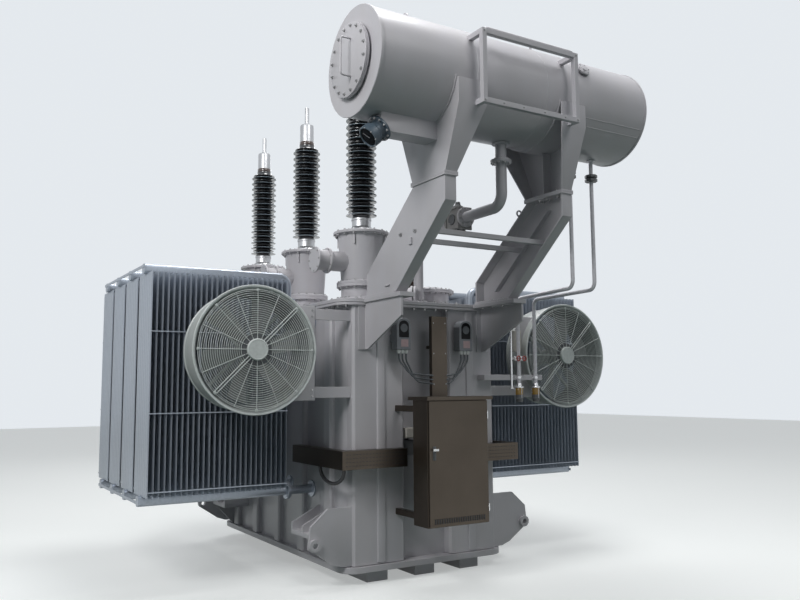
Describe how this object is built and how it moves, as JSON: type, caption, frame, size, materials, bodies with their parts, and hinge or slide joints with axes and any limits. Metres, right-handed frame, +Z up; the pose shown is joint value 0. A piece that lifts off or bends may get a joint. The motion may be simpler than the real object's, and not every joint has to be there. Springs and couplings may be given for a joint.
{
  "type": "power transformer",
  "caption": "Oil-filled power transformer with finned radiator banks, cooling fans, high-voltage bushings and an oil conservator carried on legs.",
  "frame": {"origin": "on the floor under the middle of the tank", "axes": "+Z up, +Y along the tank away from the conservator, +X across the tank from the high-voltage side towards the low-voltage side"},
  "size_m": [4.578, 4.42, 4.49],
  "materials": {
    "tank_paint": "semi-gloss light grey paint on welded steel plate",
    "radiator_paint": "smooth blue-grey paint on pressed steel fins",
    "fan_paint": "satin grey paint on spun sheet steel",
    "guard_wire": "zinc-plated round wire",
    "bushing_shed": "glossy black sheds",
    "bushing_cap": "cast aluminium",
    "cabinet_steel": "brushed stainless steel sheet",
    "dark_housing": "dark grey painted instrument case",
    "desiccant": "amber jar of drying beads",
    "fastener": "plated bolts and nuts",
    "cable": "grey conduit and cable"
  },
  "bodies": {
    "root": {"base_frame": "tank_paint", "tank_body": "tank_paint", "tank_cover": "tank_paint", "leg_bracket_left": "tank_paint", "leg_bracket_right": "tank_paint", "lower_leg_left": "tank_paint", "lower_leg_right": "tank_paint", "upper_leg_left": "tank_paint", "upper_leg_right": "tank_paint", "leg_brace_front": "tank_paint", "leg_brace_rear": "tank_paint", "conservator_shell": "tank_paint", "conservator_end_left": "tank_paint", "conservator_end_right": "tank_paint", "manhole_cover": "tank_paint", "conservator_frame": "tank_paint", "oil_level_gauge": "dark_housing", "oil_pipe_upper": "tank_paint", "oil_pipe_lower": "tank_paint", "gas_relay": "dark_housing", "hv_turret_1": "tank_paint", "hv_turret_2": "tank_paint", "hv_turret_3": "tank_paint", "hv_bushing_1": "bushing_shed", "hv_bushing_2": "bushing_shed", "hv_bushing_3": "bushing_shed", "lv_bushings": "tank_paint", "tap_changer_head": "tank_paint", "radiator_left_1": "radiator_paint", "radiator_left_2": "radiator_paint", "radiator_left_3": "radiator_paint", "radiator_left_4": "radiator_paint", "radiator_right_1": "radiator_paint", "radiator_right_2": "radiator_paint", "radiator_right_3": "radiator_paint", "radiator_right_4": "radiator_paint", "fan_shroud_left": "fan_paint", "fan_shroud_right": "fan_paint", "fan_guard_left": "guard_wire", "fan_guard_right": "guard_wire", "fan_bracket_left": "tank_paint", "fan_bracket_right": "tank_paint", "cabinet_body": "cabinet_steel", "cable_riser": "cabinet_steel", "cable_tray_left": "cabinet_steel", "cable_tray_right": "cabinet_steel", "temperature_gauge_left": "dark_housing", "temperature_gauge_right": "dark_housing", "breather_pipe_inner": "tank_paint", "breather_pipe_outer": "tank_paint", "breather_rail": "tank_paint"},
    "left_rotor": {"fan_rotor_left": "fan_paint"},
    "right_rotor": {"fan_rotor_right": "fan_paint"},
    "door": {"cabinet_door": "cabinet_steel"}
  },
  "joints": [
    {"name": "left_fan_spin", "type": "hinge", "parent": "root", "child": "left_rotor", "pos_m": [-1.6, -1.4, 1.9], "axis": [0, 1, 0], "continuous": true},
    {"name": "right_fan_spin", "type": "hinge", "parent": "root", "child": "right_rotor", "pos_m": [1.6, -1.4, 1.9], "axis": [0, 1, 0], "continuous": true},
    {"name": "door_hinge", "type": "hinge", "parent": "root", "child": "door", "pos_m": [0.257, -1.97, 0.993], "axis": [0, 0, 1], "range_deg": [0, 110]}
  ]
}
